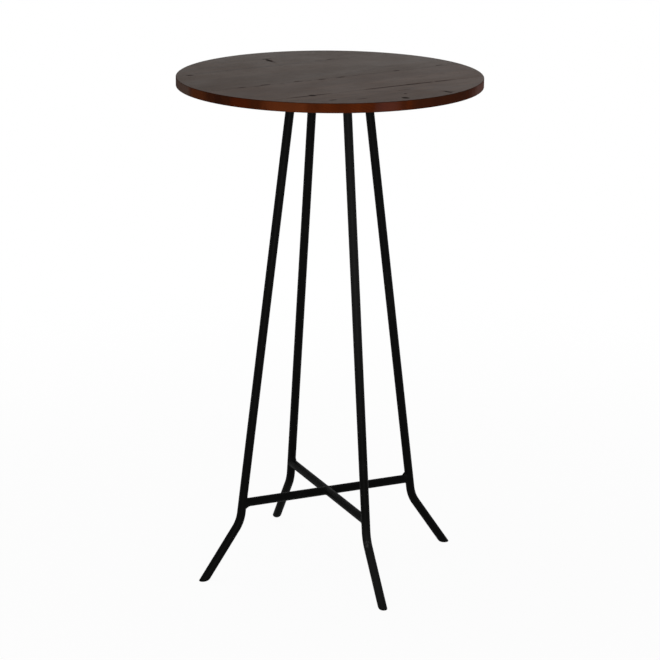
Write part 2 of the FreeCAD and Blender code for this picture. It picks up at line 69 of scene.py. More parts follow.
def eased_plate(loops, low, high, steps=4):
    """Flat plate from closed outlines, with material on the left of their travel. A corner is
    (x, y, arris), and the side that leaves it has both its edges rounded by that arris."""
    mesh = bmesh.new()
    quarter = [math.pi / 2 * k / steps for k in range(steps + 1)]
    lower = [(1 - math.sin(t), 1 - math.cos(t)) for t in quarter]
    plates = []
    for loop in loops:
        sides = []
        for i, (x, y, arris) in enumerate(loop):
            following = loop[(i + 1) % len(loop)]
            along = Vector((following[0] - x, following[1] - y)).normalized()
            sides.append((Vector((-along.y, along.x)), arris))
        rings = []
        for side, profile in (("low", lower), ("high", lower[::-1])):
            for inset, rise in profile:
                ring = []
                for i, (x, y, _) in enumerate(loop):
                    (before, arris_before), (after, arris_after) = sides[i - 1], sides[i]
                    first, second = arris_before * inset, arris_after * inset
                    turn = before.x * after.y - before.y * after.x
                    if abs(turn) < 0.05:
                        shift = (before + after).normalized() * (first + second) / 2
                    else:
                        shift = Vector((first * after.y - second * before.y,
                                        second * before.x - first * after.x)) / turn
                    depth = (arris_before + arris_after) / 2 * rise
                    z = high - depth if side == "high" else low + depth
                    ring.append(mesh.verts.new((x + shift.x, y + shift.y, z)))
                rings.append(ring)
        for under, over in zip(rings, rings[1:]):
            bridge(mesh, under, over)
        plates.append((rings[0], rings[-1]))
    for face in (0, 1):
        flats = [plate[face] for plate in plates]
        if len(flats) == 1:
            mesh.faces.new(flats[0][::-1] if face == 0 else flats[0])
            continue
        edges = [mesh.edges.get((ring[i - 1], ring[i])) for ring in flats for i in range(len(ring))]
        bmesh.ops.triangle_fill(mesh, edges=edges, use_beauty=True)
    return mesh


def plank_outline(low_joint, high_joint, low_arris, high_arris):
    """Outline of the part of the round between two joints, anticlockwise."""
    corners = []

    def arc(start, end):
        count = max(2, math.ceil((end - start) / ARC_STEP))
        for i in range(count + 1):
            angle = start + (end - start) * i / count
            x, y = TOP_RADIUS * math.cos(angle), TOP_RADIUS * math.sin(angle)
            corners.append([x, y, RIM_ARRIS])

    low_angle = math.asin(low_joint / TOP_RADIUS)
    high_angle = math.asin(high_joint / TOP_RADIUS)
    arc(low_angle, high_angle)
    if high_joint < TOP_RADIUS:
        corners[-1][2] = high_arris
    else:
        corners.pop()
    arc(math.pi - high_angle, math.pi - low_angle)
    if low_joint > -TOP_RADIUS:
        corners[-1][2] = low_arris
    else:
        corners.pop()
    return corners


def turned(mesh, azimuth):
    """Mesh turned about the table's upright axis."""
    bmesh.ops.rotate(mesh, verts=mesh.verts, matrix=Matrix.Rotation(azimuth, 3, "Z"))
    return mesh


def finished(name, mesh):
    """Blender's own mesh from a mesh in the making, with its faces outwards."""
    bmesh.ops.recalc_face_normals(mesh, faces=mesh.faces)
    data = bpy.data.meshes.new(name)
    mesh.to_mesh(data)
    mesh.free()
    return data


def placed(name, data):
    """Object in the scene for a mesh, a lamp or a camera."""
    made = bpy.data.objects.new(name, data)
    bpy.context.scene.collection.objects.link(made)
    return made


def piece(name, mesh, material, nodes):
    """Finish a mesh as a visible piece that stands for its nodes of the frame."""
    data = finished(name, mesh)
    data.set_sharp_from_angle(angle=SHARP_EDGE)
    data.materials.append(material)
    made = placed(name, data)
    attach(made, "root")
    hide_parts(*nodes)


def put(tree, kind, inputs, **settings):
    """Add a shader node, with values or other nodes' outputs on its inputs."""
    made = tree.nodes.new(kind)
    for name, setting in settings.items():
        setattr(made, name, setting)
    for name, value in inputs.items():
        if isinstance(value, bpy.types.NodeSocket):
            tree.links.new(value, made.inputs[name])
        else:
            made.inputs[name].default_value = value
    return made


def maths(tree, operation, *values):
    """Number worked out from numbers or sockets."""
    return put(tree, "ShaderNodeMath", dict(enumerate(values)), operation=operation).outputs[0]


def gap(tree, first, second):
    """How far apart two numbers are."""
    return maths(tree, "ABSOLUTE", maths(tree, "SUBTRACT", first, second))


def diagonal(tree, first, second):
    """Length of the diagonal between two sides."""
    squares = [maths(tree, "POWER", side, 2.0) for side in (first, second)]
    return maths(tree, "SQRT", maths(tree, "ADD", *squares))


def vectors(tree, operation, *values):
    """Vector worked out from vectors or sockets."""
    inputs = dict(enumerate(values))
    return put(tree, "ShaderNodeVectorMath", inputs, operation=operation).outputs[0]


def distance(tree, vector, place=(0.0, 0.0, 0.0)):
    """How far the end of a vector is from a place."""
    inputs = {0: vector, 1: place}
    return put(tree, "ShaderNodeVectorMath", inputs, operation="DISTANCE").outputs["Value"]


def parts_of(tree, vector):
    """The three parts of a vector."""
    return put(tree, "ShaderNodeSeparateXYZ", {0: vector}).outputs


def turned_vector(tree, vector, angle):
    """Vector turned about the upright axis."""
    inputs = {"Vector": vector, "Angle": angle}
    return put(tree, "ShaderNodeVectorRotate", inputs, rotation_type="Z_AXIS").outputs[0]


def stretched_noise(tree, vector, scale, detail=2.0):
    """Noise, 0 to 1, with a scale of its own along each axis, in waves for each metre."""
    moved = vectors(tree, "MULTIPLY", vector, scale)
    inputs = {"Vector": moved, "Scale": 1.0, "Detail": detail}
    return put(tree, "ShaderNodeTexNoise", inputs).outputs[0]


def between(tree, value, low, high, to_low=0.0, to_high=1.0):
    """Value moved smoothly from one range to another, and held at its ends."""
    inputs = {"Value": value, "From Min": low, "From Max": high, "To Min": to_low,
              "To Max": to_high}
    return put(tree, "ShaderNodeMapRange", inputs, interpolation_type="SMOOTHSTEP").outputs[0]


def mixed(tree, factor, first, second, mode="MIX"):
    """Colour mixed from two."""
    return put(tree, "ShaderNodeMix", {0: factor, 6: first, 7: second},
               data_type="RGBA", blend_type=mode).outputs[2]


def coloured(tree, value, stops):
    """Colour that a value picks from a row of stops, each a position and a colour."""
    ramp = put(tree, "ShaderNodeValToRGB", {0: value})
    elements = ramp.color_ramp.elements
    for _ in range(len(stops) - 2):
        elements.new(0.5)
    for element, (position, colour) in zip(elements, stops):
        element.position = position
        element.color = (*colour, 1.0)
    return ramp.outputs[0]


def new_effect(name, inputs, outputs):
    """Empty node group with named inputs and outputs, and the sockets at its two ends."""
    tree = bpy.data.node_groups.new(name, "ShaderNodeTree")
    for in_out, sockets in (("INPUT", inputs), ("OUTPUT", outputs)):
        for label, kind in sockets.items():
            tree.interface.new_socket(name=label, in_out=in_out, socket_type=f"NodeSocket{kind}")
    given = tree.nodes.new("NodeGroupInput").outputs
    return tree, given, tree.nodes.new("NodeGroupOutput").inputs


def effect(tree, group, inputs):
    """Place a node group in a material and return its outputs."""
    return put(tree, "ShaderNodeGroup", inputs, node_tree=group).outputs


def new_material(name):
    """Material with its tree and its Principled shader."""
    made = bpy.data.materials.new(name)
    made.use_nodes = True
    return made, made.node_tree, made.node_tree.nodes["Principled BSDF"]


def coated(tree, shader, colour, rough, relief, strength, depth):
    """Give a shader its colour and roughness, and a relief of a strength and a depth."""
    tree.links.new(colour, shader.inputs["Base Color"])
    tree.links.new(rough, shader.inputs["Roughness"])
    bump = put(tree, "ShaderNodeBump", {"Height": relief, "Strength": strength, "Distance": depth})
    tree.links.new(bump.outputs[0], shader.inputs["Normal"])


# Growth rings about a heart that runs along the board, broad streaks, fine fibres and pores, with
# the waves of each for a metre along the grain, across it and down through it, and its share of
# the wood's tone
WANDER_WAVES, RIPPLE_WAVES = (2.2, 6.0, 6.0), (5.0, 70.0, 70.0)
STREAK_WAVES, STREAK_TONE = (1.3, 36.0, 36.0), 0.9
FIBRE_WAVES, FIBRE_TONE = (11.0, 480.0, 480.0), 0.45
PORE_WAVES, PORE_TONE = (30.0, 1150.0, 1150.0), -0.25
RING_TONE, EVEN_TONE = -0.22, 0.025
WANDER_SIDEWAYS, WANDER_UPWARDS = 0.05, 0.02

figure, given, made = new_effect(
    "Wood figure",
    {"Vector": "Vector", "Heart": "Vector", "Ring spacing": "Float", "Seed": "Float"},
    {"Tone": "Float", "Pores": "Float", "Height": "Float"})
seed = given["Seed"]
seed_shift = put(figure, "ShaderNodeCombineXYZ", {0: seed, 1: seed, 2: seed}).outputs[0]
place = vectors(figure, "ADD", given["Vector"], seed_shift)
along, across, height = parts_of(figure, given["Vector"])
tilt, heart_across, heart_height = parts_of(figure, given["Heart"])
wander = maths(figure, "SUBTRACT", stretched_noise(figure, place, WANDER_WAVES), 0.5)
sideways = maths(figure, "SUBTRACT", across, heart_across)
sideways = maths(figure, "MULTIPLY_ADD", wander, WANDER_SIDEWAYS, sideways)
upwards = maths(figure, "SUBTRACT", height, heart_height)
upwards = maths(figure, "MULTIPLY_ADD", along, tilt, upwards)
upwards = maths(figure, "MULTIPLY_ADD", wander, WANDER_UPWARDS, upwards)
phase = maths(figure, "DIVIDE", diagonal(figure, sideways, upwards), given["Ring spacing"])
phase = maths(figure, "MULTIPLY_ADD", stretched_noise(figure, place, RIPPLE_WAVES, 3.0), 0.8, phase)
ring = between(figure, maths(figure, "PINGPONG", phase, 0.5), 0.1, 0.46)
streak = stretched_noise(figure, place, STREAK_WAVES, 4.0)
fibre = stretched_noise(figure, place, FIBRE_WAVES, 3.0)
pores = between(figure, stretched_noise(figure, place, PORE_WAVES, 1.0), 0.62, 0.74)
tone = maths(figure, "MULTIPLY", streak, STREAK_TONE)
tone = maths(figure, "MULTIPLY_ADD", ring, RING_TONE, tone)
tone = maths(figure, "ADD", maths(figure, "MULTIPLY_ADD", fibre, FIBRE_TONE, tone), EVEN_TONE)
figure.links.new(maths(figure, "MULTIPLY_ADD", pores, PORE_TONE, tone), made["Tone"])
figure.links.new(pores, made["Pores"])
relief = maths(figure, "MULTIPLY_ADD", ring, -0.5, maths(figure, "SUBTRACT", fibre, pores))
figure.links.new(relief, made["Height"])

# Dark knot, check or speck with a ragged edge, at a place on a board
mark, given, made = new_effect(
    "Mark in the wood",
    {"Vector": "Vector", "Place": "Vector", "Turn": "Float", "Length": "Float", "Width": "Float"},
    {"Mask": "Float"})
moved = vectors(mark, "SUBTRACT", given["Vector"], given["Place"])
along, across, _ = parts_of(mark, turned_vector(mark, moved, given["Turn"]))
along = maths(mark, "DIVIDE", along, given["Length"])
across = maths(mark, "DIVIDE", across, given["Width"])
ragged = stretched_noise(mark, given["Vector"], (240.0, 900.0, 900.0), 3.0)
reach = maths(mark, "MULTIPLY_ADD", ragged, 0.6, diagonal(mark, along, across))
mark.links.new(between(mark, reach, 0.95, 1.5, 1.0, 0.0), made["Mask"])

# Dirt and stain that has gathered along a run of a plank joint, broken where the joint is tight
dirt, given, made = new_effect(
    "Dirt in a joint",
    {"Vector": "Vector", "Line": "Float", "Width": "Float", "Tight share": "Float",
     "Middle": "Float", "Half length": "Float"},
    {"Mask": "Float"})
along, across, _ = parts_of(dirt, given["Vector"])
from_line = maths(dirt, "DIVIDE", gap(dirt, across, given["Line"]), given["Width"])
filled = stretched_noise(dirt, given["Vector"], (34.0, 3.0, 3.0), 3.0)
filled = maths(dirt, "SUBTRACT", filled, given["Tight share"])
filled = between(dirt, filled, -0.05, 0.05)
mask = maths(dirt, "MULTIPLY", between(dirt, from_line, 0.5, 1.3, 1.0, 0.0), filled)
past_end = maths(dirt, "SUBTRACT", gap(dirt, along, given["Middle"]), given["Half length"])
mask = maths(dirt, "MULTIPLY", between(dirt, past_end, -0.03, 0.01, 1.0, 0.0), mask)
dirt.links.new(mask, made["Mask"])

# Clouds where the rim took the stain darker, brighter or greyer, and a painted highlight at the
# right end of the rim: place along and across the grain, half width, strength and colour
RIM_CLOUDS_AND_HIGHLIGHT = (
    (-0.318, 0.078, 0.078, 0.85, (0.085, 0.052, 0.040)),
    (-0.324, 0.005, 0.045, 0.70, (0.085, 0.0210, 0.0050)),
    (-0.300, -0.125, 0.034, 0.60, (0.068, 0.0090, 0.0004)),
    (-0.242, -0.217, 0.074, 0.65, (0.106, 0.0235, 0.0052)),
    (-0.208, -0.250, 0.024, 0.70, (0.050, 0.0080, 0.0004)),
    (-0.163, -0.281, 0.024, 0.50, (0.076, 0.0120, 0.0005)),
    (-0.072, -0.317, 0.034, 0.60, (0.083, 0.0240, 0.0160)),
    (0.062, -0.319, 0.135, 0.80, (0.031, 0.0074, 0.0022)),
    # Painted highlight: a pale patch at the right end of the rim that stands for light reflected
    # there
    (0.217, -0.242, 0.084, 0.85, (0.130, 0.0620, 0.0500)))
rim_clouds_and_highlight, given, made = new_effect(
    "Rim stain clouds and painted highlight", {"Vector": "Vector", "Colour": "Color"}, {"Colour": "Color"})
ragged = stretched_noise(rim_clouds_and_highlight, given["Vector"], (45.0, 45.0, 25.0), 3.0)
ragged = maths(rim_clouds_and_highlight, "SUBTRACT", ragged, 0.5)
clouded = given["Colour"]
for u, n, half_width, strength, colour in RIM_CLOUDS_AND_HIGHLIGHT:
    away = distance(rim_clouds_and_highlight, given["Vector"], (u, n, TOP_THICKNESS / 2))
    away = maths(rim_clouds_and_highlight, "MULTIPLY_ADD", ragged, half_width, away)
    cover = between(rim_clouds_and_highlight, away, half_width * 0.4, half_width, strength, 0.0)
    clouded = mixed(rim_clouds_and_highlight, cover, clouded, (*colour, 1.0))
rim_clouds_and_highlight.links.new(clouded, made["Colour"])

RING_SPACING = 0.0042
WOOD_STOPS = (0.2, 0.52, 0.85)
RIM_STAIN = ((0.25, (0.023, 0.0040, 0.0007)), (0.48, (0.051, 0.0080, 0.0006)),
             (0.75, (0.080, 0.0136, 0.0010)))
CLOUD_WAVES, CLOUD_SHIFT, GRAIN_IN_CLOUDS = (26.0, 26.0, 9.0), 0.18, 0.35
END_GRAIN_TINT = (0.48, 0.62, 1.5, 1.0)
# Painted shade: colour and strength of the dark line painted along both arrises of the rim
ARRIS_PAINTED_SHADE, ARRIS_SHADE_COVER = (0.014, 0.0035, 0.0012, 1.0), 0.75
DIRT, DIRT_COVER, DIRT_RELIEF = (0.004, 0.0024, 0.0018, 1.0), 0.93, -4.0
GLUE_HALF_WIDTH, GLUE_DARKNESS = 0.0001, 0.22
# How far in from the rim and down from the face the rim's stain and the marks reach
RIM_BAND, MARK_DEPTH, EDGE_FADE = 0.0013, 0.002, 0.0006
HAZE_WAVES, SHEEN_LOW, SHEEN_HIGH = (9.0, 14.0, 14.0), 0.46, 0.52
PORE_DULLNESS, RIM_DULLNESS, DIRT_DULLNESS = 0.12, 0.42, 0.5


def plank_wood(name, seed, heart, gloss, colours, joints, marks):
    """Stained wood of one board: its own figure, gloss and colours, its joints and its marks."""
    material, tree, shader = new_material(name)
    coordinates = put(tree, "ShaderNodeTexCoord", {}).outputs
    on_board = vectors(tree, "SUBTRACT", coordinates["Object"], (0.0, 0.0, TOP_LOW))
    where = turned_vector(tree, on_board, -GRAIN_AZIMUTH)
    grain = effect(tree, figure, {"Vector": where, "Heart": heart, "Ring spacing": RING_SPACING,
                                  "Seed": seed})
    wood = coloured(tree, grain["Tone"], list(zip(WOOD_STOPS, colours)))

    # The sawn rim took the stain redder and in clouds, and its end grain drank more of it
    from_middle = distance(tree, vectors(tree, "MULTIPLY", where, (1.0, 1.0, 0.0)))
    rim = between(tree, from_middle, TOP_RADIUS - RIM_BAND, TOP_RADIUS - EDGE_FADE)
    cloud = stretched_noise(tree, where, CLOUD_WAVES, 3.0)
    cloud = maths(tree, "MULTIPLY_ADD", grain["Tone"], GRAIN_IN_CLOUDS, cloud)
    rim_colour = coloured(tree, maths(tree, "SUBTRACT", cloud, CLOUD_SHIFT), RIM_STAIN)
    facing = parts_of(tree, turned_vector(tree, coordinates["Normal"], -GRAIN_AZIMUTH))[0]
    end_grain = between(tree, maths(tree, "ABSOLUTE", facing), 0.5, 0.97)
    thirsty = mixed(tree, 1.0, rim_colour, END_GRAIN_TINT, "MULTIPLY")
    rim_colour = mixed(tree, end_grain, rim_colour, thirsty)
    # The clouds include the painted highlight at the right end of the rim
    rim_colour = effect(tree, rim_clouds_and_highlight, {"Vector": where, "Colour": rim_colour})[0]
    _, across, height = parts_of(tree, where)
    half = TOP_THICKNESS / 2
    # Painted shade: both arrises of the rim are darkened where shade falls at the eased edge
    arris = between(tree, gap(tree, height, half), half - RIM_ARRIS - 0.0004, half - 0.0004)
    rim_colour = mixed(tree, maths(tree, "MULTIPLY", arris, ARRIS_SHADE_COVER), rim_colour, ARRIS_PAINTED_SHADE)
    wood = mixed(tree, rim, wood, rim_colour)

    # Dirty joints, glue lines and marks are as dark as each other, and only on the upper face
    dark = None
    for line, width, tight, middle, half_length in joints:
        mask = effect(tree, dirt, {"Vector": where, "Line": line, "Width": width,
                                         "Tight share": tight, "Middle": middle,
                                         "Half length": half_length})[0]
        glue = between(tree, gap(tree, across, line), GLUE_HALF_WIDTH, 4 * GLUE_HALF_WIDTH,
                       GLUE_DARKNESS, 0.0)
        mask = maths(tree, "MAXIMUM", mask, glue)
        dark = mask if dark is None else maths(tree, "MAXIMUM", dark, mask)
    for u, n, length, width, turn in marks:
        mask = effect(tree, mark, {"Vector": where, "Place": (u, n, 0.0), "Turn": turn,
                                        "Length": length, "Width": width})[0]
        dark = maths(tree, "MAXIMUM", dark, mask)
    upper = between(tree, height, TOP_THICKNESS - MARK_DEPTH, TOP_THICKNESS - EDGE_FADE)
    dark = maths(tree, "MULTIPLY", dark, upper)
    wood = mixed(tree, maths(tree, "MULTIPLY", dark, DIRT_COVER), wood, DIRT)

    haze = stretched_noise(tree, where, HAZE_WAVES, 3.0)
    rough = between(tree, haze, 0.25, 0.75, SHEEN_LOW, SHEEN_HIGH)
    for duller, by in ((grain["Pores"], PORE_DULLNESS), (rim, RIM_DULLNESS),
                       (dark, DIRT_DULLNESS)):
        rough = maths(tree, "MULTIPLY_ADD", duller, by, rough)
    relief = maths(tree, "MULTIPLY_ADD", dark, DIRT_RELIEF, grain["Height"])
    coated(tree, shader, wood, rough, relief, 0.35, 0.0002)
    shader.inputs["IOR"].default_value = gloss
    return material


# Runs of dirt in the joints: line, half width, share that is tight, middle and half length
FRONT_DIRT = ((FRONT_JOINT, 0.0022, 0.33, -0.170, 0.050), (FRONT_JOINT, 0.0025, 0.33, 0.076, 0.116))
MIDDLE_DIRT = ((MIDDLE_JOINT, 0.0008, 0.60, -0.08, 0.17),)
BACK_DIRT = ((BACK_JOINT, 0.0006, 0.64, 0.0, 0.25),)
# Long dark mark on the front joint, which lies on both its boards
JOINT_MARK = (0.081, -0.1801, 0.032, 0.0034, 0.0)

# Each board: its two joints with their arrises, then its wood. The heart is its tilt, its place
# across the grain and its height, the gloss is an index of refraction, and a mark is how far
# along and across the grain, half length, half width and turn
PLANKS = {
    "front_board": ((-TOP_RADIUS, FRONT_JOINT, RIM_ARRIS, JOINT_ARRIS), dict(
        seed=1.3, heart=(0.05, -0.22, -0.06), gloss=1.160,
        colours=((0.0210, 0.0105, 0.0062), (0.0325, 0.0170, 0.0101), (0.0465, 0.0244, 0.0144)),
        joints=FRONT_DIRT,
        marks=((-0.163, -0.182, 0.0070, 0.0058, 0.1), (-0.0185, -0.299, 0.0070, 0.0095, 0.0),
               JOINT_MARK, (0.0080, -0.262, 0.0035, 0.0035, 0.0),
               (0.0935, -0.292, 0.0130, 0.0032, 1.45), (0.0975, -0.283, 0.0170, 0.0022, 0.75),
               (-0.155, -0.243, 0.009, 0.0030, 0.1), (-0.100, -0.262, 0.014, 0.0016, 0.05),
               (0.030, -0.225, 0.018, 0.0012, 0.02)))),
    "front_middle_board": ((FRONT_JOINT, MIDDLE_JOINT, JOINT_ARRIS, JOINT_ARRIS), dict(
        seed=4.6, heart=(-0.04, -0.12, -0.045), gloss=1.140,
        colours=((0.0204, 0.0101, 0.0058), (0.0314, 0.0163, 0.0094), (0.0445, 0.0231, 0.0132)),
        joints=FRONT_DIRT + MIDDLE_DIRT,
        marks=((-0.163, -0.178, 0.0070, 0.0058, 0.1), (-0.200, -0.031, 0.011, 0.0026, 0.1),
               JOINT_MARK, (-0.0435, -0.0345, 0.010, 0.0024, 0.0),
               (0.004, -0.0332, 0.010, 0.0026, 0.1)))),
    "back_middle_board": ((MIDDLE_JOINT, BACK_JOINT, JOINT_ARRIS, JOINT_ARRIS), dict(
        seed=8.1, heart=(0.03, 0.02, -0.09), gloss=1.126,
        colours=((0.0196, 0.0106, 0.0063), (0.0275, 0.0152, 0.0088), (0.0362, 0.0198, 0.0116)),
        joints=MIDDLE_DIRT + BACK_DIRT,
        marks=((-0.236, -0.029, 0.010, 0.0028, 0.0), (-0.179, -0.028, 0.012, 0.0028, 0.0),
               (-0.098, -0.0285, 0.011, 0.0026, 0.1), (0.152, -0.0292, 0.0075, 0.0032, 0.1),
               (0.271, -0.020, 0.009, 0.0022, 0.1), (-0.253, 0.151, 0.009, 0.0034, 0.3)))),
    "back_board": ((BACK_JOINT, TOP_RADIUS, JOINT_ARRIS, RIM_ARRIS), dict(
        seed=12.7, heart=(-0.06, 0.26, -0.05), gloss=1.115,
        colours=((0.0165, 0.0090, 0.0054), (0.0260, 0.0144, 0.0084), (0.0378, 0.0208, 0.0122)),
        joints=BACK_DIRT,
        marks=((-0.0105, 0.2235, 0.0062, 0.0095, 0.0), (-0.0128, 0.209, 0.0125, 0.0028, 1.4),
               (-0.0075, 0.238, 0.0125, 0.0022, 1.4), (-0.0048, 0.2437, 0.0110, 0.0036, 0.2),
               (0.113, 0.169, 0.008, 0.0020, 0.0)))),
}
for node, (sides, wood) in PLANKS.items():
    plank = turned(eased_plate([plank_outline(*sides)], TOP_LOW, TOP_HIGH), GRAIN_AZIMUTH)
    piece(f"stained_{node}", plank, plank_wood(f"stained_{node}", **wood), [node])


# Dowels in the plank joints. Plain round pins of pale beech, four to a joint at half the
# thickness of the boards, glued in and hidden for good once the top is cramped up.

beech, tree, shader = new_material("bare_beech")
row_place = put(tree, "ShaderNodeTexCoord", {}).outputs["Object"]
along_pin = turned_vector(tree, row_place, -GRAIN_AZIMUTH - math.pi / 2)
grain = effect(tree, figure, {"Vector": along_pin, "Heart": (0.0, 0.02, 1.05),
                              "Ring spacing": 0.0018, "Seed": 3.0})
pale = coloured(tree, grain["Tone"], ((0.1, (0.42, 0.25, 0.13)), (0.9, (0.66, 0.45, 0.27))))
coated(tree, shader, pale, between(tree, grain["Pores"], 0.0, 1.0, 0.6, 0.75),
       grain["Height"], 0.3, 0.0001)
for node in ("front_seam_dowels", "middle_seam_dowels", "back_seam_dowels"):
    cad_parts[node].data.materials.clear()
    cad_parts[node].data.materials.append(beech)


# Flat bars under the top. Hot-rolled strip with half-round ends, one long bar with slots across
# the planks and two half bars with round holes butted to its edges, all painted satin black.

BAR_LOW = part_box("long_top_bar")[0].z
BAR_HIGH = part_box("long_top_bar")[1].z
BAR_HALF_WIDTH = 0.016
BAR_REACH = 0.245
BAR_ARRIS = 0.0006
SCREW_REACHES = (0.120, 0.224)
HOLE_RADIUS = 0.00275
HOLE_ARRIS = BAR_ARRIS / 2
HALF_SLOT_TRAVEL = 0.003
LEG_AZIMUTHS = {"back_right": math.radians(45), "back_left": math.radians(135),
                "front_left": math.radians(225), "front_right": math.radians(315)}

# Sprayed paint: a faint orange peel, cloudy gloss, and dust that dulls it here and there
paint_skin, given, made = new_effect(
    "Paint skin", {"Vector": "Vector"}, {"Cloud": "Float", "Height": "Float", "Dust": "Float"})
cloud = stretched_noise(paint_skin, given["Vector"], (38.0, 38.0, 24.0), 4.0)
peel = stretched_noise(paint_skin, given["Vector"], (620.0, 620.0, 620.0), 2.0)
drag = stretched_noise(paint_skin, given["Vector"], (150.0, 150.0, 90.0), 3.0)
patch = stretched_noise(paint_skin, given["Vector"], (17.0, 17.0, 11.0), 3.0)
patch = between(paint_skin, patch, 0.55, 0.75)
speckle = stretched_noise(paint_skin, given["Vector"], (420.0, 420.0, 300.0), 3.0)
speckle = between(paint_skin, speckle, 0.42, 0.7)
paint_skin.links.new(cloud, made["Cloud"])
paint_skin.links.new(maths(paint_skin, "MULTIPLY_ADD", peel, 0.5, drag), made["Height"])
paint_skin.links.new(maths(paint_skin, "MULTIPLY", patch, speckle), made["Dust"])

PAINT_DARK, PAINT_LIGHT = (0.0026, 0.0026, 0.0026, 1.0), (0.0052, 0.0052, 0.0049, 1.0)
# Painted shade: the paint is darker towards the floor, for the shade that falls low on the legs
PAINTED_LOW_SHADE, LOW_SHADE_COVER = (0.0012, 0.0012, 0.0011, 1.0), 0.45
LOW_SHADE_FULL_BELOW, LOW_SHADE_GONE_ABOVE = 0.25, 0.95
DUST, DUST_COVER, DUST_DULLNESS = (0.016, 0.0155, 0.0145, 1.0), 0.5, 0.15
# Painted reflection: the front right leg is made greyer than the others along its upper half and
# at its foot, for light that it reflects there: place, narrowing along each axis, reach and
# strength of each patch
PAINTED_REFLECTION_PATCHES = (((0.086, -0.086, 0.80), (6.0, 6.0, 1.0), 0.65, 0.8),
                  ((0.182, -0.182, 0.07), (1.0, 1.0, 1.0), 0.14, 0.6))
PAINTED_REFLECTION_GREY = (0.0105, 0.0105, 0.0103, 1.0)
# A shoe has scuffed the bend of the same leg
SCUFF_PLACE, SCUFF_RADIUS = (0.1550, -0.1598, 0.1215), 0.010
SCUFF = (0.034, 0.034, 0.033, 1.0)
PAINT_GLOSS, PAINT_SHEEN = 1.085, (0.44, 0.54)

black_paint, tree, shader = new_material("black_satin_paint")
where = put(tree, "ShaderNodeTexCoord", {}).outputs["Object"]
skin = effect(tree, paint_skin, {"Vector": where})
paint = mixed(tree, skin["Cloud"], PAINT_DARK, PAINT_LIGHT)
height = parts_of(tree, where)["Z"]
# Painted shade: darker towards the floor
low_shade = between(tree, height, LOW_SHADE_FULL_BELOW, LOW_SHADE_GONE_ABOVE, LOW_SHADE_COVER, 0.0)
paint = mixed(tree, low_shade, paint, PAINTED_LOW_SHADE)
paint = mixed(tree, maths(tree, "MULTIPLY", skin["Dust"], DUST_COVER), paint, DUST)
# Painted reflection: greyer patches on the front right leg stand for light that it reflects
for place, narrowing, reach, strength in PAINTED_REFLECTION_PATCHES:
    away = vectors(tree, "MULTIPLY", vectors(tree, "SUBTRACT", where, place), narrowing)
    cover = between(tree, distance(tree, away), reach * 0.25, reach, strength, 0.0)
    paint = mixed(tree, cover, paint, PAINTED_REFLECTION_GREY)
scuff = between(tree, distance(tree, where, SCUFF_PLACE), SCUFF_RADIUS / 2, SCUFF_RADIUS, 1.0, 0.0)
scratches = between(tree, stretched_noise(tree, where, (330.0, 330.0, 170.0)), 0.48, 0.62)
paint = mixed(tree, maths(tree, "MULTIPLY", scuff, scratches), paint, SCUFF)
rough = between(tree, skin["Cloud"], 0.3, 0.7, *PAINT_SHEEN)
rough = maths(tree, "MULTIPLY_ADD", skin["Dust"], DUST_DULLNESS, rough)
coated(tree, shader, paint, rough, skin["Height"], 0.3, 0.0003)
shader.inputs["IOR"].default_value = PAINT_GLOSS


def steel(name, mesh, node):
    """Finish a painted steel piece that stands for one node of the frame."""
    piece(name, mesh, black_paint, [node])


def slot_outline(reach, half_travel, count=24):
    """Clockwise outline of a slot, or of a round hole if it has no travel, so that the metal
    lies on its left."""
    corners = []
    for middle, start in ((reach + half_travel, math.pi / 2), (reach - half_travel, -math.pi / 2)):
        for i in range(count + (1 if half_travel else 0)):
            angle = start - math.pi * i / count
            corners.append((middle + HOLE_RADIUS * math.cos(angle), HOLE_RADIUS * math.sin(angle),
                            HOLE_ARRIS))
    return corners


def bar_outline(near, count=24):
    """Anticlockwise outline of a flat bar, square where it starts unless near is None."""
    far = BAR_REACH - BAR_HALF_WIDTH
    ends = [(far, -math.pi / 2)] + ([(-far, math.pi / 2)] if near is None else [])
    corners = []
    for middle, start in ends:
        for i in range(count + 1):
            angle = start + math.pi * i / count
            corners.append((middle + BAR_HALF_WIDTH * math.cos(angle),
                            BAR_HALF_WIDTH * math.sin(angle), BAR_ARRIS))
    if near is not None:
        corners += [(near, BAR_HALF_WIDTH, BAR_ARRIS), (near, -BAR_HALF_WIDTH, BAR_ARRIS)]
    return corners


reaches = [*SCREW_REACHES, *(-reach for reach in SCREW_REACHES)]
loops = [bar_outline(None)] + [slot_outline(reach, HALF_SLOT_TRAVEL) for reach in reaches]
bar = turned(eased_plate(loops, BAR_LOW, BAR_HIGH), LEG_AZIMUTHS["back_left"])
steel("long_flat_bar", bar, "long_top_bar")
for corner in ("back_right", "front_left"):
    loops = [bar_outline(BAR_HALF_WIDTH)] + [slot_outline(reach, 0.0) for reach in SCREW_REACHES]
    bar = turned(eased_plate(loops, BAR_LOW, BAR_HIGH), LEG_AZIMUTHS[corner])
    steel(f"{corner}_half_flat_bar", bar, f"{corner}_half_top_bar")


# Welds of the flat bars. A bead is run across each place where a half bar butts against the long
# one, on the underside only, because the upper faces lie flat against the wood.

BAR_BEAD_RADIUS = 0.00279
BAR_BEAD_STEPS, BAR_BEAD_SIDES = 64, 10
BEAD_PITCH = 0.0021
DRIFT_WAVES, DRIFT_SHARE = 160, 0.10
# How far the edges of a bead reach into the metal
TUCK = 0.0001


def skin_rings(mesh, rings, ends="filled"):
    """Join rings of points into a tube, with its ends filled, open or joined to each other."""
    rows = [[mesh.verts.new(point) for point in ring] for ring in rings]
    for under, over in zip(rows, rows[1:]):
        bridge(mesh, under, over)
    if ends == "joined":
        bridge(mesh, rows[-1], rows[0])
    elif ends == "filled":
        mesh.faces.new(rows[0][::-1])
        mesh.faces.new(rows[-1])
    return rows


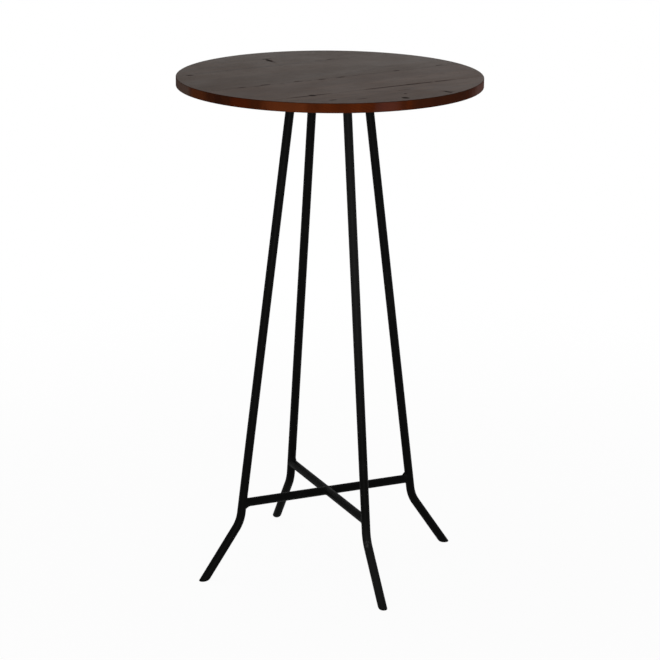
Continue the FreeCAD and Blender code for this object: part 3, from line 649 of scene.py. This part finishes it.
def laid_ripple(travel, seed, strength=0.07):
    """Size of a hand-laid bead along its run: even dimes, a little uneven in size."""
    dimes = strength * math.cos(2 * math.pi * travel / BEAD_PITCH + seed)
    drift = noise.noise(Vector((travel * DRIFT_WAVES, seed, 0.3)))
    return 1 + dimes + DRIFT_SHARE * drift


bead = bmesh.new()
for side in (1, -1):
    rings = []
    for i in range(BAR_BEAD_STEPS + 1):
        travel = -1 + 2 * i / BAR_BEAD_STEPS
        taper = 1 - 0.5 * travel ** 6
        radius = BAR_BEAD_RADIUS * laid_ripple(travel * BAR_HALF_WIDTH, side) * taper
        ring = []
        for k in range(BAR_BEAD_SIDES + 1):
            angle = math.pi + math.pi * k / BAR_BEAD_SIDES
            ring.append(Vector((side * BAR_HALF_WIDTH + radius * math.cos(angle),
                                travel * (BAR_HALF_WIDTH - TUCK * 2),
                                BAR_LOW + TUCK + radius * math.sin(angle))))
        rings.append(ring)
    skin_rings(bead, rings)
steel("flat_bar_beads", turned(bead, LEG_AZIMUTHS["back_right"]), "top_bar_welds")


# Legs. Round steel rod, bent once a little above the floor, with its top sawn level to meet the
# flat bar and its foot sawn level to stand on, and all burrs dressed off.

ROD_RADIUS = 0.0095
LEG_TOP_REACH = 0.086
BEND_REACH, BEND_HEIGHT = 0.2085, 0.126
BEND_RADIUS = 0.080
FOOT_REACH = 0.295
# Rounding of each foot's edge, on its outer and its inner side
FOOT_ARRISES = {"back_right": (0.0022, 0.0050), "back_left": (0.0082, 0.0084),
                "front_left": (0.0008, 0.0042), "front_right": (0.0006, 0.0058)}
LEG_SLOPE = (BEND_REACH - LEG_TOP_REACH) / (BAR_LOW - BEND_HEIGHT)
# Rings along the rod: shares of its upper run, steps round its bend, shares of its lower run
ROD_SIDES = 48
UPPER_SHARES = [0.0, 0.008] + [k / 30 for k in range(1, 30)]
BEND_STEPS = 16
LOWER_SHARES = [k / 6 for k in range(1, 5)] + [0.82, 1.0]


def outwards(azimuth):
    """Level direction at an azimuth."""
    return Vector((math.cos(azimuth), math.sin(azimuth), 0))


def leg_stations():
    """Places along a leg's axis, as (reach, height) with the way down the rod at each."""
    top, corner = Vector((LEG_TOP_REACH, BAR_LOW)), Vector((BEND_REACH, BEND_HEIGHT))
    foot = Vector((FOOT_REACH, 0))
    down, out = (corner - top).normalized(), (foot - corner).normalized()
    bend = down.angle(out)
    tangent = BEND_RADIUS * math.tan(bend / 2)
    arc_start, arc_end = corner - down * tangent, corner + out * tangent
    centre = arc_start + Vector((-down.y, down.x)) * BEND_RADIUS
    stations = [(top.lerp(arc_start, share), down) for share in UPPER_SHARES]
    for k in range(BEND_STEPS + 1):
        way = Matrix.Rotation(bend * k / BEND_STEPS, 2) @ down
        stations.append((centre + Vector((way.y, -way.x)) * BEND_RADIUS, way))
    return stations + [(arc_end.lerp(foot, share), out) for share in LOWER_SHARES]


def leg_ring(station, azimuth):
    """Ring of points about one place on a leg, with the way down the rod as a direction."""
    (reach, height), way = station
    radial = outwards(azimuth)
    side = Vector((-math.sin(azimuth), math.cos(azimuth), 0))
    down = radial * way.x + Vector((0, 0, way.y))
    across = side.cross(down)
    centre = radial * reach + Vector((0, 0, height))
    angles = [2 * math.pi * k / ROD_SIDES for k in range(ROD_SIDES)]
    ring = [centre + (side * math.cos(a) + across * math.sin(a)) * ROD_RADIUS for a in angles]
    return ring, down


def levelled(points, way, height):
    """Points slid along the rod until they lie on a level plane."""
    return [point + way * ((height - point.z) / way.z) for point in points]


def dressed_foot(ring, way, azimuth, outer_arris, inner_arris, steps=6):
    """Rings of a level foot whose edge is rounded more on the inner side than on the outer."""
    on_floor = levelled(ring, way, 0.0)
    middle = sum(on_floor, Vector()) / len(on_floor)
    rows = []
    for k in range(steps + 1):
        angle = math.pi / 2 * k / steps
        row = []
        for point, low in zip(ring, on_floor):
            inner = 0.5 - 0.5 * (low - middle).normalized().dot(outwards(azimuth))
            arris = outer_arris + (inner_arris - outer_arris) * inner ** 1.5
            side = levelled([point], way, arris * (1 - math.sin(angle)))[0]
            row.append(side + (middle - low).normalized() * arris * (1 - math.cos(angle)))
        rows.append(row)
    return rows


for corner, azimuth in LEG_AZIMUTHS.items():
    sections = [leg_ring(station, azimuth) for station in leg_stations()]
    rings = [ring for ring, _ in sections]
    rings[0] = levelled(*sections[0], BAR_LOW)
    rings[-1:] = dressed_foot(*sections[-1], azimuth, *FOOT_ARRISES[corner])
    leg = bmesh.new()
    skin_rings(leg, rings)
    steel(f"bent_rod_{corner}", leg, f"{corner}_leg")


# Welds at the leg tops. Each leg is welded all round to the underside of its flat bar, with a
# bead laid by hand that shows its dimes through the paint.

TOP_BEAD = 0.0042
TOP_BEAD_RUN = 0.012
TOP_BEAD_STEPS = 120
TOP_BEAD_SWELL = 0.62
LEG_LEAN = math.atan(LEG_SLOPE)


def leg_surface(height, angle):
    """Point on a leg's surface in its own upright plane: outwards, sideways and up."""
    reach = LEG_TOP_REACH + (BAR_LOW - height) * LEG_SLOPE
    return Vector((reach + ROD_RADIUS / math.cos(LEG_LEAN) * math.cos(angle),
                   ROD_RADIUS * math.sin(angle), height))


def bowed(start, swell, stop, count):
    """Points between the two edges of a bead, drawn towards a third point."""
    shares = [k / count for k in range(1, count)]
    return [start * (1 - t) ** 2 + swell * 2 * t * (1 - t) + stop * t ** 2 for t in shares]


for index, (corner, azimuth) in enumerate(LEG_AZIMUTHS.items()):
    rings = []
    for i in range(TOP_BEAD_STEPS):
        angle = 2 * math.pi * i / TOP_BEAD_STEPS
        away = outwards(angle)
        size = TOP_BEAD * laid_ripple(angle * TOP_BEAD_RUN, index * 1.7)
        under, root = leg_surface(BAR_LOW - size, angle), leg_surface(BAR_LOW, angle)
        over = root + away * size
        swell = root + (away - Vector((0, 0, 1))) * size * TOP_BEAD_SWELL
        rings.append([root - away * TUCK * 10, under - away * TUCK * 2,
                      *bowed(under, swell, over, 8), over + Vector((0, 0, TUCK))])
    bead = bmesh.new()
    skin_rings(bead, rings, "joined")
    steel(f"leg_top_bead_{corner}", turned(bead, azimuth), f"{corner}_leg_top_weld")


# Stretchers. Two rods of the legs' own stock tie the feet together in one level plane: a long one
# from leg to leg, and two halves whose inner ends are coped to its sides.

STRETCHER_HEIGHT = (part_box("long_stretcher")[0].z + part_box("long_stretcher")[1].z) / 2
STRETCHER_REACH = BEND_REACH - (STRETCHER_HEIGHT - BEND_HEIGHT) * LEG_SLOPE
BITE = 0.0003
STRETCHER_SHARES = [0.0] + [0.08 + 0.84 * k / 8 for k in range(9)] + [1.0]
COPE_SHARES = (0.8, 0.6, 0.4, 0.2)


def end_on_leg(side, up):
    """How far out a stretcher reaches at a point of its section before it meets its leg."""
    half_chord = math.sqrt(max(ROD_RADIUS ** 2 - side ** 2, 0))
    return STRETCHER_REACH - up * LEG_SLOPE - half_chord / math.cos(LEG_LEAN) + BITE


def end_on_rod(side, up):
    """How far from the middle a half stretcher starts, against the side of the long one."""
    return math.sqrt(max(ROD_RADIUS ** 2 - up ** 2, 0)) - BITE


def coped_rod(azimuth, near, far):
    """Level rod whose two ends follow the surfaces that they meet."""
    mesh = bmesh.new()
    angles = [2 * math.pi * k / ROD_SIDES for k in range(ROD_SIDES)]
    circle = [(ROD_RADIUS * math.cos(a), ROD_RADIUS * math.sin(a)) for a in angles]
    rings = []
    for share in STRETCHER_SHARES:
        ring = []
        for side, up in circle:
            start, stop = near(side, up), far(side, up)
            ring.append(Vector((start + (stop - start) * share, side, STRETCHER_HEIGHT + up)))
        rings.append(ring)
    rows = skin_rings(mesh, rings, "open")
    for outer, reach in ((rows[0], near), (rows[-1], far)):
        for share in COPE_SHARES:
            inner = []
            for side, up in ((side * share, up * share) for side, up in circle):
                inner.append(mesh.verts.new((reach(side, up), side, STRETCHER_HEIGHT + up)))
            bridge(mesh, outer, inner, smooth=False)
            outer = inner
        middle = mesh.verts.new((reach(0, 0), 0, STRETCHER_HEIGHT))
        for i in range(ROD_SIDES):
            mesh.faces.new((outer[i], outer[(i + 1) % ROD_SIDES], middle))
    return turned(mesh, azimuth)


rod = coped_rod(LEG_AZIMUTHS["back_left"], lambda side, up: -end_on_leg(side, up), end_on_leg)
steel("long_cross_rod", rod, "long_stretcher")
for corner in ("back_right", "front_left"):
    rod = coped_rod(LEG_AZIMUTHS[corner], end_on_rod, end_on_leg)
    steel(f"half_cross_rod_{corner}", rod, f"{corner}_half_stretcher")


# Welds of the stretchers. A bead fills the corner above and below each stretcher where it meets
# its leg, fullest in the middle of the corner and dying away at the sides of the rods. No two are
# alike: a leg can have a fat bead on one side and a lean one on the other.

BEAD_HALF_WIDTH = ROD_RADIUS * 0.97
CORNER_BEAD_STEPS = 40
THINNEST = 0.12


def corner_bead(mesh, joint, first, second, sizes, fullness, seed):
    """Bead in the corner between two crossing rods, with its length along each of them."""
    side = first.cross(second).normalized()
    opening = first.angle(second)
    away = (first + second).normalized()
    rings = []
    for i in range(CORNER_BEAD_STEPS + 1):
        offset = BEAD_HALF_WIDTH * math.sin(math.pi / 2 * (-1 + 2 * i / CORNER_BEAD_STEPS))
        half = math.sqrt(ROD_RADIUS ** 2 - offset ** 2)
        root = joint + side * offset + away * (half / math.sin(opening / 2))
        taper = (1 - (offset / BEAD_HALF_WIDTH) ** 2) ** 0.4
        scale = max(taper, THINNEST) * laid_ripple(offset, seed, 0.03)
        start, stop = root + first * sizes[0] * scale, root + second * sizes[1] * scale
        swell = root + (start + stop - root * 2) * fullness
        rings.append([root - away * TUCK * 12, start - away * TUCK * 4,
                      *bowed(start, swell, stop, 10), stop - away * TUCK * 4])
    skin_rings(mesh, rings)


# Beads above and below each stretcher: length up or down the leg, length along the stretcher, and
# how full each one is, from hollow at a quarter to round at a half and more
CORNER_BEADS = {
    "back_right": ((0.0062, 0.0062, 0.62), (0.0036, 0.0036, 0.3)),
    "back_left": ((0.0100, 0.0078, 0.60), (0.0045, 0.0045, 0.3)),
    "front_left": ((0.0032, 0.0032, 0.3), (0.0056, 0.0090, 0.30)),
    "front_right": ((0.0050, 0.0050, 0.4), (0.0056, 0.0056, 0.4)),
}
for index, (corner, azimuth) in enumerate(LEG_AZIMUTHS.items()):
    radial = outwards(azimuth)
    joint = radial * STRETCHER_REACH + Vector((0, 0, STRETCHER_HEIGHT))
    up_leg = (Vector((0, 0, 1)) - radial * LEG_SLOPE).normalized()
    bead = bmesh.new()
    for way, (*sizes, fullness) in zip((up_leg, -up_leg), CORNER_BEADS[corner]):
        corner_bead(bead, joint, way, -radial, sizes, fullness, index + way.z)
    steel(f"cross_rod_bead_{corner}", bead, f"{corner}_stretcher_weld")

CROSSING_BEAD, CROSSING_FULLNESS = 0.0058, 0.3
joint = Vector((0, 0, STRETCHER_HEIGHT))
ways = [outwards(azimuth) for azimuth in LEG_AZIMUTHS.values()]
bead = bmesh.new()
for i in range(4):
    corner_bead(bead, joint, ways[i - 1], ways[i], (CROSSING_BEAD, CROSSING_BEAD),
                CROSSING_FULLNESS, 5.0 + i)
steel("crossing_beads", bead, "crossing_weld")


# Screws and washers. Zinc-plated pan-head wood screws, two up through each arm of the bars into
# pilot holes in the planks, each with a flat washer that bridges its slot or hole.

WASHER_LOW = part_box("screw_washers")[0].z
SCREW_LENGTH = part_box("top_screws")[1].z - WASHER_LOW
SCREW_SIDES, SCREW_ROWS = 32, 120
HEAD_RADIUS, HEAD_HEIGHT = 0.0045, 0.003
SHANK_RADIUS, CORE_RADIUS, NECK_RADIUS = 0.00225, 0.00155, 0.0017825
NECK_LENGTH, POINT_LENGTH, POINT_SHARE = 0.0055, 0.006, 0.04
THREAD_PITCH, THREAD_SHARPNESS = 0.0022, 1.8
WASHER_OUTER, WASHER_INNER, WASHER_THICKNESS, WASHER_ARRIS = 0.007, 0.0025, 0.0012, 0.0002
WASHER_SIDES = 48
RECESS_REACH, RECESS_HALF_WIDTH, RECESS_DEPTH = 0.0024, 0.00052, 0.0019

bright_zinc, tree, shader = new_material("bright_zinc")
where = put(tree, "ShaderNodeTexCoord", {}).outputs["Object"]
bloom = stretched_noise(tree, where, (260.0, 260.0, 260.0), 4.0)
brushed = stretched_noise(tree, where, (1400.0, 1400.0, 300.0), 2.0)
coated(tree, shader, mixed(tree, bloom, (0.42, 0.43, 0.44, 1.0), (0.66, 0.66, 0.64, 1.0)),
       between(tree, bloom, 0.3, 0.7, 0.28, 0.44), brushed, 0.2, 0.0001)
shader.inputs["Metallic"].default_value = 1.0


def screw_mesh():
    """One pan-head screw with its head down, its shank up and its seat at zero."""
    profile = [(HEAD_RADIUS * 0.12, -HEAD_HEIGHT), (HEAD_RADIUS * 0.45, -HEAD_HEIGHT * 0.985)]
    for k in range(9):
        angle = math.pi / 2 * k / 8
        profile.append((HEAD_RADIUS * (0.5 + 0.5 * math.sin(angle)),
                        -HEAD_HEIGHT * (0.3 + 0.67 * math.cos(angle))))
    profile += [(HEAD_RADIUS, -HEAD_HEIGHT * 0.06), (HEAD_RADIUS * 0.97, 0.0)]
    turns = [k / SCREW_SIDES for k in range(SCREW_SIDES)]
    rings = []
    for r, z in profile:
        rings.append([outwards(2 * math.pi * turn) * r + Vector((0, 0, z)) for turn in turns])
    for row in range(SCREW_ROWS + 1):
        z = SCREW_LENGTH * row / SCREW_ROWS
        ring = []
        for turn in turns:
            valley = abs(((z / THREAD_PITCH - turn) % 1.0) - 0.5) * 2
            valley = min(1.0, valley * THREAD_SHARPNESS)
            radius = SHANK_RADIUS - (SHANK_RADIUS - CORE_RADIUS) * valley
            if z < NECK_LENGTH:
                radius = NECK_RADIUS
            radius *= max(POINT_SHARE, min(1.0, (SCREW_LENGTH - z) / POINT_LENGTH))
            ring.append(outwards(2 * math.pi * turn) * radius + Vector((0, 0, z)))
        rings.append(ring)
    mesh = bmesh.new()
    skin_rings(mesh, rings)
    return finished("screw_blank", mesh)


def recess_mesh():
    """Tapered cross that the driver bit fits, to be taken out of a screw head."""
    reach, half = RECESS_REACH, RECESS_HALF_WIDTH
    arm = ((half, -half), (reach, -half), (reach, half))
    cross = []
    for quarter in range(4):
        spin = Matrix.Rotation(math.pi / 2 * quarter, 2)
        cross += [spin @ Vector(corner) for corner in arm]
    rings = []
    for z, share in ((-HEAD_HEIGHT - 0.0005, 1.15), (-HEAD_HEIGHT + RECESS_DEPTH, 0.45)):
        rings.append([Vector((x * share, y * (0.5 + share / 2), z)) for x, y in cross])
    mesh = bmesh.new()
    skin_rings(mesh, rings)
    return finished("recess_tool", mesh)


blank, recess = placed("screw_blank", screw_mesh()), placed("recess_tool", recess_mesh())
cut = blank.modifiers.new("Cross recess", "BOOLEAN")
cut.operation = "DIFFERENCE"
cut.solver = "EXACT"
cut.object = recess
bpy.context.view_layer.update()
one_screw = blank.evaluated_get(bpy.context.evaluated_depsgraph_get())
one_screw = bpy.data.meshes.new_from_object(one_screw)
bpy.data.objects.remove(blank)
bpy.data.objects.remove(recess)

washer_profile = [
    (WASHER_INNER + WASHER_ARRIS, 0), (WASHER_OUTER - WASHER_ARRIS * 2, 0),
    (WASHER_OUTER, WASHER_ARRIS * 1.5), (WASHER_OUTER, WASHER_THICKNESS - WASHER_ARRIS),
    (WASHER_OUTER - WASHER_ARRIS, WASHER_THICKNESS),
    (WASHER_INNER + WASHER_ARRIS, WASHER_THICKNESS),
    (WASHER_INNER, WASHER_THICKNESS - WASHER_ARRIS), (WASHER_INNER, WASHER_ARRIS)]
screws, washers = bmesh.new(), bmesh.new()
for index, azimuth in enumerate(LEG_AZIMUTHS.values()):
    for reach in SCREW_REACHES:
        seat = Matrix.Rotation(azimuth, 4, "Z") @ Matrix.Translation((reach, 0, WASHER_LOW))
        # No two screws stop with their recess at the same angle
        driven = Matrix.Rotation(1.3 * index + 40 * reach, 4, "Z")
        before = len(screws.verts)
        screws.from_mesh(one_screw)
        screws.verts.ensure_lookup_table()
        bmesh.ops.transform(screws, matrix=seat @ driven, verts=screws.verts[before:])
        rings = []
        for k in range(WASHER_SIDES):
            away = outwards(2 * math.pi * k / WASHER_SIDES)
            rings.append([seat @ (away * r + Vector((0, 0, z))) for r, z in washer_profile])
        skin_rings(washers, rings, "joined")
for mesh in (screws, washers):
    for face in mesh.faces:
        face.smooth = True
piece("pan_head_screws", screws, bright_zinc, ["top_screws"])
piece("flat_washers", washers, bright_zinc, ["screw_washers"])


# Studio. A pale floor without end and an even white sky, with two soft lamps: a small one low in
# front, below the level of the top so that it leaves no glare there, and a large one above. The
# camera stands a little higher than the table and looks down on it.

FLOOR_SIZE = 60.0
# Reach and share of the floor's own light, so that it is white far off and keeps a shadow near by
NEAR_FLOOR, FAR_FLOOR, NEAR_WHITENESS, FAR_WHITENESS = 0.5, 2.4, 0.95, 1.0
SKY_LIGHT = 0.40
# Name, place, width and power of each lamp
LAMPS = (("front_lamp", (0.9, -2.3, 0.6), 0.9, 28.0), ("roof_lamp", (-0.6, 0.4, 3.6), 2.4, 28.0))
LAMP_AIM = Vector((0, 0, 0.8))
WHITE = (1.0, 1.0, 1.0, 1.0)
PALE = (0.82, 0.82, 0.82, 1.0)

half = FLOOR_SIZE / 2
corners = ((-half, -half, 0), (half, -half, 0), (half, half, 0), (-half, half, 0))
ground = bpy.data.meshes.new("studio_floor")
ground.from_pydata(corners, [], [(0, 1, 2, 3)])
floor = placed("studio_floor", ground)


def seen_directly(tree):
    """1 for rays from the camera or a reflection, 0 for those that only carry light about."""
    path = put(tree, "ShaderNodeLightPath", {}).outputs
    seen = maths(tree, "MAXIMUM", path["Is Camera Ray"], path["Is Glossy Ray"])
    return maths(tree, "MAXIMUM", seen, path["Is Transmission Ray"])


floor_paint, tree, _ = new_material("studio_floor")
tree.nodes.clear()
dull = put(tree, "ShaderNodeBsdfDiffuse", {"Color": PALE}).outputs[0]
lit = put(tree, "ShaderNodeEmission", {"Color": WHITE, "Strength": 1.0}).outputs[0]
away = distance(tree, put(tree, "ShaderNodeTexCoord", {}).outputs["Object"])
whiteness = between(tree, away, NEAR_FLOOR, FAR_FLOOR, NEAR_WHITENESS, FAR_WHITENESS)
share = maths(tree, "MULTIPLY", seen_directly(tree), whiteness)
look = put(tree, "ShaderNodeMixShader", {0: share, 1: dull, 2: lit}).outputs[0]
put(tree, "ShaderNodeOutputMaterial", {0: look})
floor.data.materials.append(floor_paint)

sky = bpy.data.worlds.new("studio_sky")
sky.use_nodes = True
tree = sky.node_tree
tree.nodes.clear()
strength = between(tree, seen_directly(tree), 0.0, 1.0, SKY_LIGHT, 1.0)
light = put(tree, "ShaderNodeBackground", {"Color": WHITE, "Strength": strength}).outputs[0]
put(tree, "ShaderNodeOutputWorld", {0: light})
bpy.context.scene.world = sky

for name, place, size, power in LAMPS:
    lamp = bpy.data.lights.new(name, "AREA")
    lamp.shape = "DISK"
    lamp.size = size
    lamp.energy = power
    hung = placed(name, lamp)
    hung.location = place
    hung.rotation_mode = "QUATERNION"
    hung.rotation_quaternion = (LAMP_AIM - Vector(place)).to_track_quat("-Z", "Y")

CAMERA_DISTANCE, CAMERA_HEIGHT = 4.681, 1.910
CAMERA_AZIMUTH, CAMERA_PITCH = math.radians(20.93), 0.2848
CAMERA_YAW, CAMERA_ROLL = 0.0008, 0.0069
LENS, SENSOR, FARTHEST_SEEN = 122.0, 36.0, 100.0

lens = bpy.data.cameras.new("camera")
lens.sensor_width = SENSOR
lens.lens = LENS
lens.clip_end = FARTHEST_SEEN
camera = placed("camera", lens)
stand = Vector((math.sin(CAMERA_AZIMUTH) * CAMERA_DISTANCE,
                -math.cos(CAMERA_AZIMUTH) * CAMERA_DISTANCE, CAMERA_HEIGHT))
camera.matrix_world = (Matrix.Translation(stand)
                       @ Matrix.Rotation(CAMERA_AZIMUTH - CAMERA_YAW, 4, "Z")
                       @ Matrix.Rotation(math.pi / 2 - CAMERA_PITCH, 4, "X")
                       @ Matrix.Rotation(CAMERA_ROLL, 4, "Z"))
bpy.context.scene.camera = camera
bpy.context.scene.view_settings.view_transform = "Standard"
